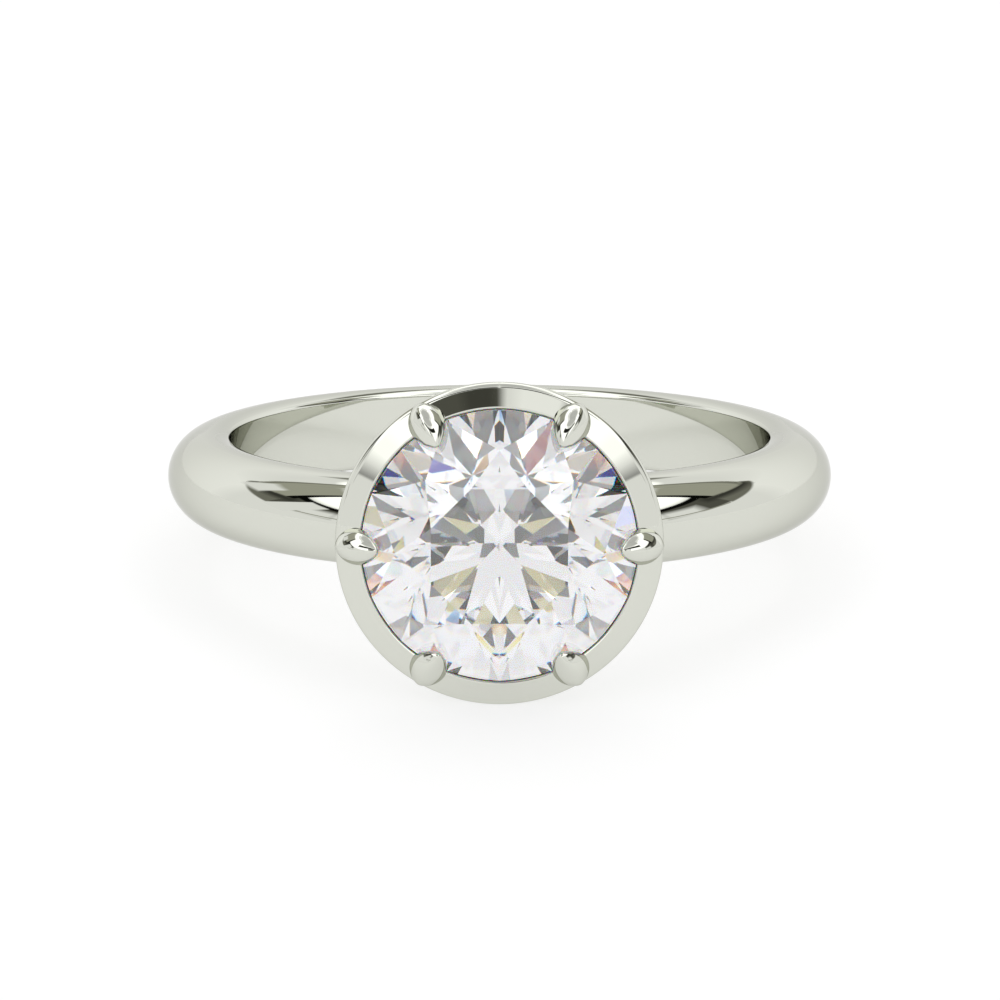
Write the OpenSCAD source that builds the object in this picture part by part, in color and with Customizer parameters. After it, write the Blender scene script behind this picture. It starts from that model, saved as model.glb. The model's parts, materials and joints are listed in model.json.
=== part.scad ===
// Bezel solitaire ring: a polished band, a bevelled collar on a tapered cup, six claws and a round brilliant.
// The ring lies on its side, as it rests on a table: on the collar's lower edge and the back of the band.

/* [Band] */
// Inside diameter of the finger hole
bore_d = 16.5; // [15:0.1:21]
// Width of the band along the finger
band_w = 2.6; // [2.4:0.1:3]
// Thickness of the band from the finger to its crown
band_t = 1.9; // [1.7:0.1:2.2]
// Rounding of the two edges of the flat inner wall
inner_edge_r = 0.15; // [0.05:0.05:0.2]

/* [Stone] */
// Girdle diameter of the round brilliant
stone_d = 7.5; // [7:0.1:7.8]
// Table width in percent of the girdle diameter
table_pc = 53; // [52:1:60]
// Slope of the kite facets on the crown, in degrees
crown_deg = 38; // [34:0.5:39]
// Slope of the main facets on the pavilion, in degrees
pavilion_deg = 40.6; // [40:0.1:41.2]
// Length of the star facets in percent of the way from table edge to girdle
star_pc = 51; // [45:1:60]
// Length of the lower girdle facets in percent of the way from girdle to culet
lower_pc = 79; // [70:1:82]
// Thickness of the girdle at its thickest places
girdle_t = 0.18; // [0.18:0.01:0.3]
// Height of the girdle's upper edge above the wall of the finger hole
girdle_h = 3.63; // [3.6:0.01:4]
// Clear space between the stone and the metal
stone_gap = 0.03; // [0.02:0.01:0.05]
// Turn of the stone in its seat, in degrees
stone_turn = 22.5; // [0:2.5:45]

/* [Collar and cup] */
// Outside diameter of the collar
collar_d = 8.96; // [8.9:0.02:9.4]
// Outward fall of the collar's polished bevel, in degrees
bevel_deg = 12; // [8:1:16]
// Rounding of the collar's outer edge
rim_r = 0.2; // [0.14:0.02:0.22]
// Width of the small broken edge round the stone
lip_w = 0.05; // [0.03:0.01:0.07]
// Angle between the cup's side and its axis, in degrees
cup_deg = 52; // [50:1:54]
// Radius of the cup's foot, which is sunk in the band
foot_r = 1.25; // [1.1:0.05:1.3]
// Radius of the light hole from the finger hole up to the stone
light_hole_r = 0.9; // [0.7:0.05:1]

/* [Claws] */
// Number of claws
claw_count = 6; // [4:1:8]
// Radius of a claw's round outer end
claw_r = 0.52; // [0.48:0.01:0.54]
// Radius of a claw's tip
tip_r = 0.14; // [0.1:0.01:0.16]
// Radius of the full curve from a claw's round end to its tip
side_r = 1.2; // [1:0.1:3]
// Length of a claw seen from the front
claw_len = 1.22; // [1.15:0.01:1.3]
// Height of the round end's centre over the girdle's upper edge
claw_rise = -0.15; // [-0.16:0.01:-0.04]
// Height of the tip's centre over the girdle's upper edge
tip_rise = 0.5; // [0.48:0.01:0.56]

/* [Hidden] */
$fn = 96;

bore_r = bore_d / 2;
// The band's section is a circle as wide as the band, cut off flat by the finger hole.
crown_r = band_w / 2;
crown_at = bore_r + band_t - crown_r;
// Each inner edge is an arc that touches the flat wall and, from inside, the circle.
edge_at = bore_r + inner_edge_r;
edge_h = sqrt(pow(crown_r - inner_edge_r, 2) - pow(crown_at - edge_at, 2));
edge_reach = crown_r / (crown_r - inner_edge_r);
edge_touch = [crown_at - (crown_at - edge_at) * edge_reach, edge_h * edge_reach];

// Heights along the head's axis are measured from the centre of the finger hole.
stone_r = stone_d / 2;
girdle_top = bore_r + girdle_h;
girdle_low = girdle_top - girdle_t;
table_r = stone_r * table_pc / 100;
table_h = (stone_r - table_r) * tan(crown_deg);
culet_h = stone_r * tan(pavilion_deg);

// Star corners and lower corners lie between two main facets, on both of their planes.
half_step = 22.5;
quarter_step = half_step / 2;
table_edge_r = table_r * cos(half_step);
star_r = table_edge_r + (stone_r - table_edge_r) * star_pc / 100;
star_h = (stone_r - star_r * cos(half_step)) * tan(crown_deg);
lower_r = stone_r * (1 - lower_pc / 100);
lower_h = (stone_r - lower_r * cos(half_step)) * tan(pavilion_deg);

// The girdle facets run on a little past the girdle, and a cylinder trims them to scalloped arcs.
trim_over = 0.005;
chord_r = stone_r * cos(quarter_step);
trim_r = stone_r / cos(quarter_step) + trim_over;
upper_fall = star_h / (chord_r - star_r * cos(quarter_step)) * (trim_r - stone_r) * cos(quarter_step);
lower_fall = lower_h / (chord_r - lower_r * cos(quarter_step)) * (trim_r - stone_r) * cos(quarter_step);

// The seat wall runs round the girdle, and the bevel falls outward from it to the rounded rim.
seat_r = stone_r + stone_gap;
collar_r = collar_d / 2;
rim_at_r = collar_r - rim_r;
rim_at_h = girdle_top - (rim_at_r - seat_r) * tan(bevel_deg) - rim_r / cos(bevel_deg);
cup_top_r = rim_at_r + rim_r * cos(cup_deg);
cup_top_h = rim_at_h - rim_r * sin(cup_deg);
foot_h = cup_top_h - (cup_top_r - foot_r) / tan(cup_deg);

// A claw is a drop: a large ball, a small ball and the full curve that touches both.
ball_at_r = collar_r - claw_r;
ball_at_h = girdle_top + claw_rise;
tip_at_r = collar_r - claw_len + tip_r;
tip_at_h = girdle_top + tip_rise;
drop_len = norm([ball_at_r - tip_at_r, tip_at_h - ball_at_h]);
drop_deg = atan2(ball_at_r - tip_at_r, tip_at_h - ball_at_h);
side_y = (pow(drop_len, 2) + pow(side_r - claw_r, 2) - pow(side_r - tip_r, 2)) / (2 * drop_len);
side_x = -sqrt(pow(side_r - claw_r, 2) - pow(side_y, 2));

// At rest one straight line touches the underside of the rim and of the band's back.
rest_deg = atan(rim_at_r / (rim_at_h + crown_at))
         - asin((crown_r - rim_r) / norm([rim_at_r, rim_at_h + crown_at]));
rest_lift = crown_at * sin(rest_deg) + crown_r;
corner_off = abs((stone_turn + half_step) % (2 * half_step) - half_step);
front_reach = (girdle_top + table_h) * cos(rest_deg) + table_r * cos(corner_off) * sin(rest_deg);
back_reach = crown_at * cos(rest_deg) + crown_r;
rest_shift = (front_reach - back_reach) / 2;

far = 30;

function ring_point(r, angle, h) = [r * cos(angle), r * sin(angle), h];

// Turns the ring, drawn round the upright finger axis, onto the surface it rests on.
module at_rest() {
    translate([0, rest_shift, rest_lift]) rotate([-rest_deg, 0, 0]) children();
}

// Places what is drawn along +Z on the head's axis, which points to the front.
module on_head() {
    rotate([90, 0, 0]) children();
}

// The band's section: a circle from its two inner edges outward, and a flat wall between the edges.
module band_section() {
    difference() {
        translate([crown_at, 0]) circle(r = crown_r);
        translate([0, -far]) square([edge_touch[0], 2 * far]);
    }
    for (side = [-1, 1]) translate([edge_at, side * edge_h]) circle(r = inner_edge_r);
    polygon([
        [bore_r, -edge_h],
        [edge_touch[0], -edge_touch[1]],
        [edge_touch[0], edge_touch[1]],
        [bore_r, edge_h]
    ]);
}

module band() {
    rotate_extrude() band_section();
}

// Collar and cup as one turned form: bevel, rounded rim, tapered side and foot.
module collar_and_cup() {
    rotate_extrude() {
        polygon([
            [0, foot_h],
            [foot_r, foot_h],
            [cup_top_r, cup_top_h],
            [rim_at_r, rim_at_h],
            [rim_at_r + rim_r * sin(bevel_deg), rim_at_h + rim_r * cos(bevel_deg)],
            [seat_r, girdle_top],
            [0, girdle_top]
        ]);
        translate([rim_at_r, rim_at_h]) circle(r = rim_r);
    }
}

// The long section of a drop that points along +Y.
module drop_section() {
    side_at = [side_x, side_y];
    intersection() {
        union() {
            circle(r = claw_r);
            translate([0, drop_len]) circle(r = tip_r);
            intersection() {
                translate(side_at) circle(r = side_r);
                polygon([side_at, side_at - far * side_at, side_at + far * ([0, drop_len] - side_at)]);
            }
        }
        translate([0, -far]) square([far, 2 * far]);
    }
}

module claw() {
    translate([ball_at_r, 0, ball_at_h]) rotate([0, -drop_deg, 0]) rotate_extrude() drop_section();
}

module claws() {
    for (i = [0 : claw_count - 1]) rotate([0, 0, i * 360 / claw_count]) claw();
}

// The room for the stone: its outline turned round the axis, a gap larger all over.
module stone_room() {
    side_gap = stone_gap / cos(crown_deg);
    room_low = girdle_low - culet_h - side_gap;
    rotate_extrude() polygon([
        [0, room_low],
        [lower_r, girdle_low - lower_h - side_gap],
        [seat_r, girdle_low - side_gap / 2],
        [seat_r, girdle_top - lip_w],
        [seat_r + lip_w, girdle_top + stone_gap],
        [star_r, girdle_top + star_h + side_gap],
        [table_r, girdle_top + table_h + side_gap],
        [0, girdle_top + table_h + side_gap]
    ]);
}

// The light hole ends inside the room.
module light_hole() {
    cylinder(r = light_hole_r, h = girdle_low - lower_h / 2);
}

module ring_mount() {
    color("silver") at_rest() difference() {
        union() {
            band();
            on_head() collar_and_cup();
            on_head() claws();
        }
        on_head() stone_room();
        on_head() light_hole();
    }
}

// Round brilliant with 8 kite, 8 star, 16 upper, 16 lower and 8 main facets.
module brilliant() {
    main = [for (k = [0 : 7]) 2 * half_step * k];
    between = [for (k = [0 : 7]) 2 * half_step * k + half_step];
    points = concat(
        [for (a = main) ring_point(table_r, a, girdle_top + table_h)],
        [for (a = between) ring_point(star_r, a, girdle_top + star_h)],
        [for (a = main) ring_point(stone_r, a, girdle_top)],
        [for (j = [0 : 15]) ring_point(trim_r, j * half_step, girdle_top - upper_fall)],
        [for (j = [0 : 15]) ring_point(trim_r, j * half_step, girdle_low + lower_fall)],
        [for (a = main) ring_point(stone_r, a, girdle_low)],
        [for (a = between) ring_point(lower_r, a, girdle_low - lower_h)],
        [[0, 0, girdle_low - culet_h]]
    );
    star = 8;
    kite_end = 16;
    upper = 24;
    lower = 40;
    main_end = 56;
    low_corner = 64;
    culet = 72;
    faces = concat(
        [[for (k = [7 : -1 : 0]) k]],
        [for (k = [0 : 7]) [k, (k + 1) % 8, star + k]],
        [for (k = [0 : 7]) [k, star + k, kite_end + k, star + (k + 7) % 8]],
        [for (k = [0 : 7]) [star + k, upper + 2 * k + 1, upper + 2 * k, kite_end + k]],
        [for (k = [0 : 7]) [star + k, kite_end + (k + 1) % 8, upper + (2 * k + 2) % 16, upper + 2 * k + 1]],
        [for (j = [0 : 15]) [upper + j, upper + (j + 1) % 16, lower + (j + 1) % 16, lower + j]],
        [for (k = [0 : 7]) [low_corner + k, main_end + k, lower + 2 * k, lower + 2 * k + 1]],
        [for (k = [0 : 7]) [low_corner + k, lower + 2 * k + 1, lower + (2 * k + 2) % 16, main_end + (k + 1) % 8]],
        [for (k = [0 : 7]) [culet, low_corner + (k + 7) % 8, main_end + k, low_corner + k]]
    );
    intersection() {
        polyhedron(points, faces);
        cylinder(r = stone_r, h = girdle_top + far);
    }
}

module stone() {
    color("azure") at_rest() on_head() rotate([0, 0, stone_turn]) brilliant();
}

ring_mount();
stone();
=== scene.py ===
"""Bezel solitaire ring: mirror-polished white gold round a clear brilliant, lying on a pale floor."""

import json
from math import atan2, cos, pi, radians, sin, sqrt, tan

import bmesh
import bpy
from mathutils import Matrix, Vector


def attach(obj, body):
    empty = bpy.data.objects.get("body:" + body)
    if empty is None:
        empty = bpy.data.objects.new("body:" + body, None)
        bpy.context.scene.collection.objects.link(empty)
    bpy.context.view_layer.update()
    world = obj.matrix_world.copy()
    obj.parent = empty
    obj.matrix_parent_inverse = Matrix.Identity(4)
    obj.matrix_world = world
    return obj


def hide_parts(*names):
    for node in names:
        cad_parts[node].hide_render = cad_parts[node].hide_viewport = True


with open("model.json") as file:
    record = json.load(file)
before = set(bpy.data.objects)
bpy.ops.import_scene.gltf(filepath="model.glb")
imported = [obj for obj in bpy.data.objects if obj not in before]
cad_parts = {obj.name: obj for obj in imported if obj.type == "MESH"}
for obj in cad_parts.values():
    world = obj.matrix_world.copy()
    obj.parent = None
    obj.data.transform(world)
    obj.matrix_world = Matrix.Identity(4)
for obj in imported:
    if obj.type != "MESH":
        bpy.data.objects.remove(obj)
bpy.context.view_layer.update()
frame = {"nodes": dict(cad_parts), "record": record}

MM = 0.001

# Band
BORE_R = 8.25 * MM
BAND_T = 1.9 * MM
CROWN_R = 1.3 * MM
INNER_EDGE_R = 0.15 * MM
CROWN_AT = BORE_R + BAND_T - CROWN_R

# Stone, measured from the centre of the finger hole along the head's axis
STONE_R = 3.75 * MM
GIRDLE_RISE = 3.63 * MM
GIRDLE_T = 0.18 * MM
GIRDLE_TOP = BORE_R + GIRDLE_RISE
GIRDLE_LOW = GIRDLE_TOP - GIRDLE_T
MAIN_FACETS = 8
CROWN = radians(38)
PAVILION = radians(40.6)
TABLE = 0.53
STAR = 0.51
STONE_GAP = 0.03 * MM

# Collar and cup
SEAT_R = STONE_R + STONE_GAP
COLLAR_R = 4.48 * MM
RIM_R = 0.2 * MM
BEVEL = radians(12)
CUP = radians(52)
LIP_R = 0.06 * MM
FOOT_R = 1.25 * MM
LIGHT_HOLE_R = 0.9 * MM
# The band is cut away to this far under the cup's inner face.
CUT_BACK = 0.25 * MM
# The cup's inside is left unpolished out to this share of the seat's radius. There its base colour is
# darker, which is painted shade under the stone.
PAINTED_SHADE_TO = 0.99

# Claws
CLAW_COUNT = 6
CLAW_R = 0.52 * MM
TIP_R = 0.14 * MM
SIDE_R = 1.2 * MM
# 2 would make a claw's section round, and 1 a square that stands on its corner.
CLAW_RIDGE = 1.6
CLAW_LEN = 1.22 * MM
CLAW_RISE = -0.15 * MM
TIP_RISE = 0.5 * MM

# How finely the metal is drawn: steps round an axis, and steps along the arcs of a section
BODY_STEPS = 360
SMALL_STEPS = 96
CROWN_ARC = 48
RIM_ARC = 40
SIDE_ARC = 32
SMALL_ARC = 16
# Points this close together are one point.
MERGE = 1e-7
# Share of a straight run that its points near the ends keep from them.
NEAR_END = 0.01
# Faces that meet at more than this angle show an edge.
SHARP = radians(25)

# The camera looks straight to the back, along the floor's Y axis, and down at the ring.
CAMERA_AT = Vector((0.015, -92.89, 35.1)) * MM
CAMERA_DOWN = radians(19.47)
LENS = 116.96
SENSOR = 36
CLIP_NEAR = 1 * MM
CLIP_FAR = 10

# How often light is followed through the stone and between polished faces
BOUNCES = 12


def ring_pose():
    """Turns the ring, drawn round an upright finger axis, to where the finger mount has it at rest."""
    mount = frame["record"]["mounts"][0]
    lean = Vector((0, 0, 1)).rotation_difference(Vector(mount["axis"]))
    return Matrix.Translation(mount["pos_m"]) @ lean.to_matrix().to_4x4()


AT_REST = ring_pose()
# What is drawn along +Z goes on the head's axis, which points to the front.
ON_HEAD = AT_REST @ Matrix.Rotation(pi / 2, 4, "X")


def arc(centre, radius, start, end, steps):
    """Points of an arc in a section, from angle start to angle end."""
    return [
        (centre[0] + radius * cos(start + (end - start) * i / steps),
         centre[1] + radius * sin(start + (end - start) * i / steps))
        for i in range(steps + 1)
    ]


def near_ends(start, end):
    """Two points close to the ends of a straight run, which keep its shading flat beside an arc."""
    (r0, h0), (r1, h1) = start, end
    return [(r0 + (r1 - r0) * t, h0 + (h1 - h0) * t) for t in (NEAR_END, 1 - NEAR_END)]


def turned(outline, steps, closed=True):
    """A bmesh turned round Z from an outline of (radius, height) points."""
    bm = bmesh.new()
    verts = [bm.verts.new((r, 0, h)) for r, h in outline]
    for a, b in zip(verts, verts[1:] + verts[:1] if closed else verts[1:]):
        bm.edges.new((a, b))
    bmesh.ops.spin(
        bm, geom=bm.verts[:] + bm.edges[:], cent=(0, 0, 0), axis=(0, 0, 1),
        angle=2 * pi, steps=steps, use_merge=True, use_duplicate=False,
    )
    bmesh.ops.remove_doubles(bm, verts=bm.verts[:], dist=MERGE)
    bmesh.ops.recalc_face_normals(bm, faces=bm.faces[:])
    return bm


def piece(bm, name, place):
    """Moves a finished bmesh to its place and makes it an object with smooth shading between sharp edges."""
    bmesh.ops.transform(bm, matrix=place, verts=bm.verts[:])
    mesh = bpy.data.meshes.new(name)
    bm.to_mesh(mesh)
    bm.free()
    mesh.shade_smooth()
    mesh.set_sharp_from_angle(angle=SHARP)
    made = bpy.data.objects.new(name, mesh)
    bpy.context.scene.collection.objects.link(made)
    return made


def cut(body, tool):
    """Takes the tool's form out of the body for good."""
    boolean = body.modifiers.new("cut", "BOOLEAN")
    boolean.operation = "DIFFERENCE"
    boolean.solver = "EXACT"
    boolean.object = tool
    depsgraph = bpy.context.evaluated_depsgraph_get()
    result = bpy.data.meshes.new_from_object(body.evaluated_get(depsgraph))
    body.modifiers.clear()
    body.data = result
    body.data.name = body.name
    bpy.data.objects.remove(tool)


def band_outline():
    """Section of the band: a circle as wide as the band, cut off by a flat wall with rounded edges."""
    edge_at = BORE_R + INNER_EDGE_R
    inset = CROWN_AT - edge_at
    edge_h = sqrt((CROWN_R - INNER_EDGE_R) ** 2 - inset ** 2)
    touch = pi - atan2(edge_h, inset)
    upper = (
        arc((edge_at, edge_h), INNER_EDGE_R, pi, touch, SMALL_ARC)
        + arc((CROWN_AT, 0), CROWN_R, touch, 0, CROWN_ARC)[1:]
    )
    lower = [(r, -h) for r, h in reversed(upper[:-1])]
    return upper + lower + near_ends(lower[-1], upper[0])


def cup_outline():
    """Section of the collar and cup: foot, tapered side, rim, bevel, lip, seat, room and light hole."""
    rim_at = COLLAR_R - RIM_R
    rim_h = GIRDLE_TOP - (rim_at - SEAT_R) * tan(BEVEL) - RIM_R / cos(BEVEL)
    cup_top = (rim_at + RIM_R * cos(CUP), rim_h - RIM_R * sin(CUP))
    foot_h = cup_top[1] - (cup_top[0] - FOOT_R) / tan(CUP)
    side_gap = STONE_GAP / cos(CROWN)
    room_slope = tan(PAVILION)
    room_top = GIRDLE_LOW - side_gap / 2
    lip_at = SEAT_R + LIP_R
    lip_h = GIRDLE_TOP - LIP_R * tan(BEVEL) - LIP_R / cos(BEVEL)
    foot = (FOOT_R, foot_h)
    rim = arc((rim_at, rim_h), RIM_R, -CUP, pi / 2 - BEVEL, RIM_ARC)
    lip = arc((lip_at, lip_h), LIP_R, pi / 2 - BEVEL, pi, SMALL_ARC)
    seat = (SEAT_R, room_top)
    return (
        [(LIGHT_HOLE_R, foot_h), foot]
        + near_ends(foot, rim[0])[1:] + rim
        + near_ends(rim[-1], lip[0]) + lip
        + near_ends(lip[-1], seat)[:1] + [seat]
        + [(LIGHT_HOLE_R, room_top - (SEAT_R - LIGHT_HOLE_R) * room_slope)]
    )


def make_band():
    """The band, cut open where the stone and the light hole are."""
    band = piece(turned(band_outline(), BODY_STEPS), "band", AT_REST)
    room_top = GIRDLE_LOW - CUT_BACK
    room_low = room_top - (SEAT_R - LIGHT_HOLE_R) * tan(PAVILION)
    room = turned([
        (0, 0), (LIGHT_HOLE_R, 0), (LIGHT_HOLE_R, room_low),
        (SEAT_R, room_top), (SEAT_R, GIRDLE_TOP), (0, GIRDLE_TOP),
    ], SMALL_STEPS, closed=False)
    cut(band, piece(room, "room", ON_HEAD))
    return band


def make_setting():
    """The collar and cup. Its second material is for the inside under the stone, which is rough and has
    painted shade in its base colour.
    """
    bm = turned(cup_outline(), BODY_STEPS)
    for face in bm.faces:
        middle = face.calc_center_median()
        inward = face.normal.xy.dot(middle.xy) < 0
        under_stone = LIGHT_HOLE_R < middle.xy.length < SEAT_R * PAINTED_SHADE_TO
        face.material_index = 1 if inward and under_stone else 0
    return piece(bm, "collar_cup", ON_HEAD)


def ridged(x, y):
    """Draws a round section in between its four outermost points. It gets a ridge and flatter sides."""
    radius = sqrt(x * x + y * y)
    if radius < MERGE:
        return x, y
    share = (abs(x / radius) ** CLAW_RIDGE + abs(y / radius) ** CLAW_RIDGE) ** (-1 / CLAW_RIDGE)
    return x * share, y * share


def crown_ridge():
    """Slope of the crown's highest line, from the girdle to the corner of a star facet."""
    half_step = pi / MAIN_FACETS
    table_edge = STONE_R * TABLE * cos(half_step)
    corner = table_edge + (STONE_R - table_edge) * STAR
    rise = (STONE_R - corner * cos(half_step)) * tan(CROWN)
    return atan2(rise, STONE_R - corner)


def make_claw(index):
    """A drop, a large and a small ball with the full curve that touches both, cut flat along the crown."""
    ball = Vector((COLLAR_R - CLAW_R, 0, GIRDLE_TOP + CLAW_RISE))
    tip = Vector((COLLAR_R - CLAW_LEN + TIP_R, 0, GIRDLE_TOP + TIP_RISE))
    length = (tip - ball).length
    lean = atan2(ball.x - tip.x, tip.z - ball.z)
    side_h = (length ** 2 + (SIDE_R - CLAW_R) ** 2 - (SIDE_R - TIP_R) ** 2) / (2 * length)
    side_x = sqrt((SIDE_R - CLAW_R) ** 2 - side_h ** 2)
    low, high = atan2(-side_h, side_x), atan2(length - side_h, side_x)
    outline = (
        arc((0, 0), CLAW_R, -pi / 2, low, RIM_ARC)
        + arc((-side_x, side_h), SIDE_R, low, high, SIDE_ARC)[1:]
        + arc((0, length), TIP_R, high, pi / 2, SMALL_ARC)[1:]
    )
    bm = turned(outline, SMALL_STEPS, closed=False)
    for vert in bm.verts:
        vert.co.x, vert.co.y = ridged(vert.co.x, vert.co.y)
    bmesh.ops.transform(bm, matrix=Matrix.Rotation(-lean, 4, "Y"), verts=bm.verts[:])
    bmesh.ops.translate(bm, vec=ball, verts=bm.verts[:])
    ridge = crown_ridge()
    slope = Vector((sin(ridge), 0, cos(ridge)))
    crown_edge = Vector((STONE_R, 0, GIRDLE_TOP)) + slope * STONE_GAP
    sliced = bmesh.ops.bisect_plane(
        bm, geom=bm.verts[:] + bm.edges[:] + bm.faces[:], dist=MERGE,
        plane_co=crown_edge, plane_no=slope, clear_inner=True,
    )
    rim = [e for e in sliced["geom_cut"] if isinstance(e, bmesh.types.BMEdge)]
    bmesh.ops.contextual_create(bm, geom=rim)
    bmesh.ops.recalc_face_normals(bm, faces=bm.faces[:])
    around = Matrix.Rotation(2 * pi * index / CLAW_COUNT, 4, "Z")
    return piece(bm, f"claw_{index + 1}", ON_HEAD @ around)


class Value:
    """Wraps a shader socket, so that sums and products of sockets are written as expressions."""

    def __init__(self, tree, socket):
        self.tree = tree
        self.socket = socket

    def math(self, operation, other):
        return self.tree.node("ShaderNodeMath", {"operation": operation}, [self, other])

    def __add__(self, other):
        return self.math("ADD", other)

    def __mul__(self, other):
        return self.math("MULTIPLY", other)

    __radd__ = __add__
    __rmul__ = __mul__


class Tree:
    """One node tree that is built by code."""

    def __init__(self, owner):
        owner.use_nodes = True
        self.nodes = owner.node_tree.nodes
        self.links = owner.node_tree.links
        self.nodes.clear()

    def node(self, kind, settings=None, sockets=None, out=0):
        """Adds a node with its settings, fills its sockets by name or by order, and gives one output."""
        made = self.nodes.new(kind)
        for key, value in (settings or {}).items():
            setattr(made, key, value)
        pairs = sockets.items() if isinstance(sockets, dict) else enumerate(sockets or [])
        for key, value in pairs:
            if isinstance(value, Value):
                self.links.new(value.socket, made.inputs[key])
            else:
                made.inputs[key].default_value = value
        return Value(self, made.outputs[out]) if made.outputs else made


# Metal. A roughness is given as its least value and the most that a noise adds to it.
GOLD = (0.665, 0.675, 0.612, 1)
GOLD_EDGE = (0.7, 0.7, 0.68, 1)
POLISH = (0.015, 0.02)
# The seat's two base colours are darker than the gold, as painted shade under the stone, with a random grain
# between them.
SEAT_PAINTED_SHADE_DARK = (0.42, 0.42, 0.4, 1)
SEAT_PAINTED_SHADE_PALE = (0.58, 0.58, 0.55, 1)
SEAT_GRAIN = (0.3, 0.1)


def polished_white_gold():
    material = bpy.data.materials.new("polished_white_gold")
    tree = Tree(material)
    place = tree.node("ShaderNodeTexCoord", out="Object")
    cloud = tree.node("ShaderNodeTexNoise", {}, {"Vector": place, "Scale": 400, "Detail": 3})
    gold = tree.node("ShaderNodeBsdfPrincipled", {}, {
        "Base Color": GOLD, "Metallic": 1, "Roughness": POLISH[0] + POLISH[1] * cloud,
        "Specular Tint": GOLD_EDGE,
    })
    tree.node("ShaderNodeOutputMaterial", {}, {"Surface": gold})
    return material


def rough_seat_painted_shade():
    """The cup's inside under the stone, which no polishing tool reaches. It is rough with a random grain,
    and its darker base colour is painted shade.
    """
    material = bpy.data.materials.new("rough_seat_painted_shade")
    tree = Tree(material)
    place = tree.node("ShaderNodeTexCoord", out="Object")
    grain = tree.node("ShaderNodeTexNoise", {}, {"Vector": place, "Scale": 3000, "Detail": 4})
    shade = tree.node("ShaderNodeMix", {"data_type": "RGBA"}, {
        "Factor": grain, "A": SEAT_PAINTED_SHADE_DARK, "B": SEAT_PAINTED_SHADE_PALE,
    }, out=2)
    seat = tree.node("ShaderNodeBsdfPrincipled", {}, {
        "Base Color": shade, "Metallic": 1, "Roughness": SEAT_GRAIN[0] + SEAT_GRAIN[1] * grain,
    })
    tree.node("ShaderNodeOutputMaterial", {}, {"Surface": seat})
    return material


# Where light enters the stone it is split by colour, each with its own refractive index.
# Together the colours are white.
RAINBOW = {
    2.405: (0.5, 0, 0, 1),
    2.417: (0.5, 0.25, 0, 1),
    2.43: (0, 0.5, 0, 1),
    2.445: (0, 0.25, 0.5, 1),
    2.46: (0, 0, 0.5, 1),
}
INNER_IOR = 2.43
# Share of the light that is left each time it meets a facet from inside.
CLARITY = (0.966, 0.966, 0.972, 1)


def clear_brilliant():
    material = bpy.data.materials.new("clear_brilliant")
    tree = Tree(material)
    entry = None
    for ior, colour in RAINBOW.items():
        part = tree.node("ShaderNodeBsdfGlass", {}, {"Color": colour, "Roughness": 0, "IOR": ior})
        entry = tree.node("ShaderNodeAddShader", {}, [entry, part]) if entry else part
    inside = tree.node("ShaderNodeBsdfGlass", {}, {"Color": CLARITY, "Roughness": 0, "IOR": INNER_IOR})
    back = tree.node("ShaderNodeNewGeometry", out="Backfacing")
    surface = tree.node("ShaderNodeMixShader", {}, [back, entry, inside])
    tree.node("ShaderNodeOutputMaterial", {}, {"Surface": surface})
    return material


# The studio round the ring is evenly pale, with these panels in it, each hung in front of the ones before.
# Angles are degrees, seen from the ring: how far round from the front a panel reaches, and how high.
# `rise` lifts its lower and upper edges for each degree further round than RISE_FROM. `lean` moves its
# side edges back for each degree higher than LEAN_FROM. `soft` is the width of its faded rim.
RISE_FROM = 90
LEAN_FROM = 30
BOTH = (-1, 1)
LEFT = (-1,)
RIGHT = (1,)
WHITE = (1, 1, 1, 1)
OLIVE = (1, 1, 0.84, 1)
PANEL_KEYS = ("sides", "from", "to", "low", "high", "rise", "lean", "soft", "light", "tint")
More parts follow.
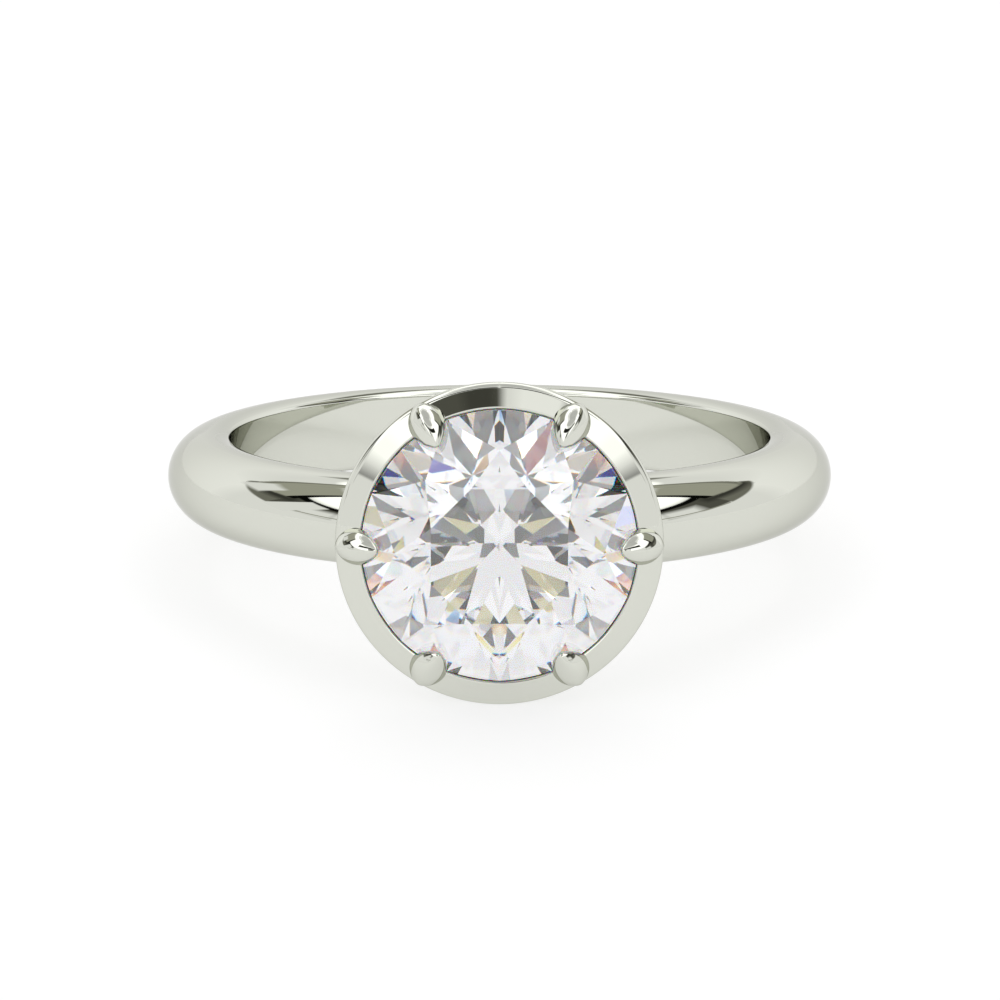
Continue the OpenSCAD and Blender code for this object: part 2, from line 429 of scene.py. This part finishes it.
# The metal mirrors these.
METAL_PANELS = [
    (BOTH, 105, 182, -13, 40, 0, 0, 12, 1.15, WHITE),
    (BOTH, 12, 93, 41, 80, 0.42, 0, 4, 1.7, WHITE),
    (BOTH, 15, 26, 10.9, 17, 0, 0, 2.1, 1.5, WHITE),
    (BOTH, 88, 182, 57, 70, 0, 0, 3, 1.7, WHITE),
    (BOTH, 0, 182, 67, 90, 0, 0, 4, 1.0, WHITE),
    (RIGHT, 88, 142, 65, 73, 0, 0, 3, 1.5, WHITE),
    (BOTH, 0, 182, 73, 90, 0, 0, 3, 0.65, WHITE),
    (BOTH, 138, 181, 75, 98, -0.46, 0, 2, 1.7, WHITE),
    (BOTH, 0, 52, 56, 82, 0, 0, 3, 0.65, WHITE),
    (BOTH, 0, 50, 38, 50, 0, 0, 1, 0.02, OLIVE),
    (BOTH, 162, 179, 67, 76, -0.46, 0, 3, 0.2, OLIVE),
    (BOTH, 58, 93, 17, 41, 0.38, 0, 2, 0.1, OLIVE),
    (BOTH, 90, 126, 16, 37, 0.42, 0, 1.5, 0.2, OLIVE),
    (BOTH, 82, 126, 25, 37, 0.1, 0, 5, 0.05, OLIVE),
    (BOTH, 97, 119, 33, 58, 0, 1.17, 2, 0.43, OLIVE),
    (BOTH, 93, 119, 33, 58, 0, 0, 2, 0.43, OLIVE),
    (BOTH, 96, 128, 42, 58, 0, 0, 2, 0.43, OLIVE),
    (BOTH, 112, 119, 33, 56, 0, 1.17, 3, 0.22, OLIVE),
    (BOTH, 88.5, 95, 33, 57, 0, 0, 1, 0.004, OLIVE),
    (BOTH, 60, 94, 36, 41.5, 0.4, 0, 1.2, 0.004, OLIVE),
    (BOTH, 55, 79, 11, 31, 0.25, 0, 6, 1.0, WHITE),
    (BOTH, 52, 90, 15.9, 18.1, 0.22, 0, 0.8, 0.35, OLIVE),
    (LEFT, 64, 83, 18, 38, 0.38, -0.67, 1, 0.98, WHITE),
    (LEFT, 104.5, 124, 26.5, 42, 0, 0, 3, 0.98, WHITE),
    (LEFT, -1.5, 15.5, 19, 36, 0, 0, 2, 0.1, OLIVE),
    (LEFT, -0.5, 8, 19, 38, 0, 0, 2.5, 0.065, OLIVE),
    (RIGHT, 2, 14, 19, 37, 0, 0, 2.5, 1.15, WHITE),
    (RIGHT, 11, 15.5, 20, 36, 0, 0, 1.5, 0.6, WHITE),
    (BOTH, 16, 32, 3, 11, 0, 0, 2.2, 0.3, WHITE),
    (BOTH, 14, 34, -1, 9, 0, 0, 0.4, 1.0, WHITE),
    (BOTH, 0, 20, -1, 4, 0, 0, 2.5, 1.35, WHITE),
]
# These are seen only through the stone, where they make its dark, bright and coloured facets. The floor
# isn't seen through the stone, so some of them hang below it.
STRAW = (1, 0.93, 0.55, 1)
VIOLET = (0.1, 0.05, 1, 1)
SKY = (0.8, 0.85, 1.2, 1)
ROSE = (1, 0.03, 0.04, 1)
AMBER = (1, 0.89, 0.68, 1)
STONE_PANELS = [
    (RIGHT, -9, 9, 9, 21, 0, 0, 1, 0.06, WHITE),
    (BOTH, 8, 15, 12, 21, 0, 0, 1, 0.08, WHITE),
    (BOTH, 14, 20, 15.5, 21, 0, 0, 1, 0.3, WHITE),
    (BOTH, 4, 9, 20, 24, 0, 0, 0.5, 0.03, WHITE),
    (LEFT, 9, 16, 21, 30, 0, 0, 1, 0.01, WHITE),
    (RIGHT, 8, 11, 21, 30, 0, 0, 1, 0.12, WHITE),
    (RIGHT, 11, 16, 21, 30, 0, 0, 1, 0.25, ROSE),
    (BOTH, 31, 35, 28.5, 31.5, 0, 0, 0.5, 0.15, WHITE),
    (BOTH, 35, 41, 35, 39, 0, 0, 1, 0.1, WHITE),
    (RIGHT, 40, 46, 33, 40, 0, 0, 0.5, 0.45, VIOLET),
    (BOTH, 49, 57, 41, 60, 0, 0, 1, 0.3, WHITE),
    (BOTH, 49, 56, 28, 33, 0, 0, 1, 0.27, WHITE),
    (BOTH, 60, 68, 38, 48.5, 0, 0, 0.5, 0.5, WHITE),
    (BOTH, 68, 72, 14, 28, 0, 0, 1, 0.3, WHITE),
    (BOTH, 7, 15, 57, 66, 0, 0, 1, 0.35, WHITE),
    (BOTH, 17, 24, 40, 47, 0, 0, 1, 0.25, WHITE),
    (BOTH, 64, 80, 74, 82, 0, 0, 1, 0.15, WHITE),
    (BOTH, 24, 32, 22, 27.5, 0, 0, 1, 1.5, WHITE),
    (BOTH, 42, 46, 26, 32, 0, 0, 1, 2.0, WHITE),
    (BOTH, 72, 80, 12, 16, 0, 0, 1, 2.0, WHITE),
    (BOTH, 24, 28, 15, 19, 0, 0, 0.5, 0.7, STRAW),
    (BOTH, 29, 33, 6, 11, 0, 0, 0.5, 0.7, STRAW),
    (BOTH, 8, 13, 38, 44, 0, 0, 0.5, 0.7, STRAW),
    (RIGHT, 26, 30, 32, 36, 0, 0, 0.5, 0.9, SKY),
    (LEFT, 26, 30, 32, 36, 0, 0, 0.5, 0.55, STRAW),
    (BOTH, 55.5, 60.5, 51, 57, 0, 0, 0.5, 0.48, AMBER),
    (BOTH, 52, 57, 47.5, 52, 0, 0, 0.5, 1.1, WHITE),
    (BOTH, 59.5, 64, 4, 8, 0, 0, 0.5, 0.19, WHITE),
    (LEFT, -4, 4, 35, 44, 0, 0, 0.5, 0.5, WHITE),
    (LEFT, 0, 4, 28, 32, 0, 0, 0.5, 0.55, WHITE),
    (BOTH, 24, 28, 40, 44, 0, 0, 0.5, 0.45, WHITE),
    (RIGHT, 0, 5, 23, 28, 0, 0, 0.5, 0.2, WHITE),
    (BOTH, 15.5, 20.5, 4, 8, 0, 0, 0.5, 1.17, WHITE),
    (LEFT, 31.5, 36.5, 40, 44.5, 0, 0, 0.5, 1.16, WHITE),
    (BOTH, 51.5, 56.5, -16.5, -11.5, 0, 0, 0.5, 0.48, WHITE),
    (LEFT, -5, 5, -25, -19, 0, 0, 0.5, 0.33, AMBER),
    (LEFT, 0, 4, 40, 45, 0, 0, 0.5, 0.2, WHITE),
    (BOTH, 15.5, 20.5, -44.5, -39.5, 0, 0, 0.5, 0.88, AMBER),
    (RIGHT, 12, 16.5, 11.5, 16, 0, 0, 0.5, 0.15, WHITE),
    (LEFT, 12, 16, 32, 36, 0, 0, 0.5, 0.6, WHITE),
    (RIGHT, 40, 44, 20, 24, 0, 0, 0.5, 0.6, WHITE),
    (LEFT, 32, 36, -8, -4, 0, 0, 0.5, 1.2, WHITE),
    (BOTH, 19.5, 24.5, -4, 0, 0, 0, 0.5, 0.5, STRAW),
]
# The first panel hangs this far from the ring, and each next one a step nearer.
STUDIO_R = 2.0
PANEL_STEP = 0.01
PANEL_COLUMNS = 16
PANEL_ROWS = 6


def spaced(share, count, rim):
    """Moves a grid line so that the first and the last row are as wide as the faded rim."""
    line = round(share * count)
    if line <= 1:
        return line * rim
    if line >= count - 1:
        return 1 - (count - line) * rim
    return rim + (line - 1) / (count - 2) * (1 - 2 * rim)


def hang_panel(name, panel, side, distance, for_stone):
    """A thin sheet on a ball round the ring. Its outermost ring of faces fades to nothing."""
    bm = bmesh.new()
    bmesh.ops.create_grid(bm, x_segments=PANEL_COLUMNS, y_segments=PANEL_ROWS, size=0.5)
    solid = bm.verts.layers.float.new("solid")
    width, tall, soft = panel["to"] - panel["from"], panel["high"] - panel["low"], panel["soft"]
    for vert in bm.verts:
        vert[solid] = 0 if vert.is_boundary else 1
        across = spaced(vert.co.x + 0.5, PANEL_COLUMNS, soft / width)
        up = spaced(vert.co.y + 0.5, PANEL_ROWS, soft / tall)
        around = panel["from"] + width * across
        height = panel["low"] + tall * up + panel["rise"] * (around - RISE_FROM)
        around += panel["lean"] * (height - LEAN_FROM)
        azimuth, elevation = radians(around) * side, radians(height)
        vert.co = distance * Vector((
            sin(azimuth) * cos(elevation), -cos(azimuth) * cos(elevation), sin(elevation),
        ))
    sheet = piece(bm, name, Matrix.Identity(4))
    material = bpy.data.materials.new(name)
    material.cycles.emission_sampling = "NONE"
    tree = Tree(material)
    cover = tree.node("ShaderNodeAttribute", {"attribute_name": "solid"}, out="Fac")
    glow = tree.node("ShaderNodeEmission", {}, {"Color": panel["tint"], "Strength": panel["light"]})
    clear = tree.node("ShaderNodeBsdfTransparent")
    tree.node("ShaderNodeOutputMaterial", {}, {
        "Surface": tree.node("ShaderNodeMixShader", {}, [cover, clear, glow]),
    })
    sheet.data.materials.append(material)
    sheet.visible_transmission = for_stone
    sheet.visible_glossy = not for_stone
    sheet.visible_diffuse = not for_stone


def studio():
    """Even pale light from all round, and the panels."""
    world = bpy.data.worlds.new("studio")
    bpy.context.scene.world = world
    tree = Tree(world)
    glow = tree.node("ShaderNodeBackground", {}, {"Color": WHITE, "Strength": 1})
    tree.node("ShaderNodeOutputWorld", {}, {"Surface": glow})
    for number, row in enumerate(METAL_PANELS + STONE_PANELS):
        panel = dict(zip(PANEL_KEYS, row))
        for side in panel["sides"]:
            name = f"panel_{number + 1}_{'left' if side < 0 else 'right'}"
            hang_panel(name, panel, side, STUDIO_R - number * PANEL_STEP, number >= len(METAL_PANELS))


FLOOR_HALF = 3
FLOOR_COLOUR = (0.36, 0.36, 0.36, 1)
FLOOR_GLOW = 0.675


def lay_floor():
    """A plain floor that glows a little, so that it is as pale as the studio round it."""
    bm = bmesh.new()
    bmesh.ops.create_grid(bm, x_segments=1, y_segments=1, size=FLOOR_HALF)
    floor = piece(bm, "floor", Matrix.Identity(4))
    material = bpy.data.materials.new("pale_floor")
    tree = Tree(material)
    matt = tree.node("ShaderNodeBsdfDiffuse", {}, {"Color": FLOOR_COLOUR})
    glow = tree.node("ShaderNodeEmission", {}, {"Color": WHITE, "Strength": FLOOR_GLOW})
    tree.node("ShaderNodeOutputMaterial", {}, {
        "Surface": tree.node("ShaderNodeAddShader", {}, [matt, glow]),
    })
    material.cycles.emission_sampling = "NONE"
    floor.data.materials.append(material)
    floor.visible_transmission = False


def place_camera():
    camera = bpy.data.cameras.new("camera")
    camera.sensor_width = SENSOR
    camera.lens = LENS
    camera.clip_start = CLIP_NEAR
    camera.clip_end = CLIP_FAR
    made = bpy.data.objects.new("camera", camera)
    made.location = CAMERA_AT
    made.rotation_euler = (pi / 2 - CAMERA_DOWN, 0, 0)
    bpy.context.scene.collection.objects.link(made)
    bpy.context.scene.camera = made


place_camera()
metal = polished_white_gold()
setting = make_setting()
for part in [make_band(), setting] + [make_claw(i) for i in range(CLAW_COUNT)]:
    part.data.materials.append(metal)
    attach(part, "root")
    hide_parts("ring_mount")
# The cup's inside under the stone gets the rough seat material, whose darker base colour is painted shade.
setting.data.materials.append(rough_seat_painted_shade())

stone = frame["nodes"]["stone"]
stone.data.materials.clear()
stone.data.materials.append(clear_brilliant())
lay_floor()
studio()

scene = bpy.context.scene
scene.view_settings.view_transform = "Standard"
scene.cycles.max_bounces = BOUNCES
scene.cycles.transmission_bounces = BOUNCES
scene.cycles.glossy_bounces = BOUNCES
scene.cycles.caustics_refractive = True
scene.cycles.caustics_reflective = True
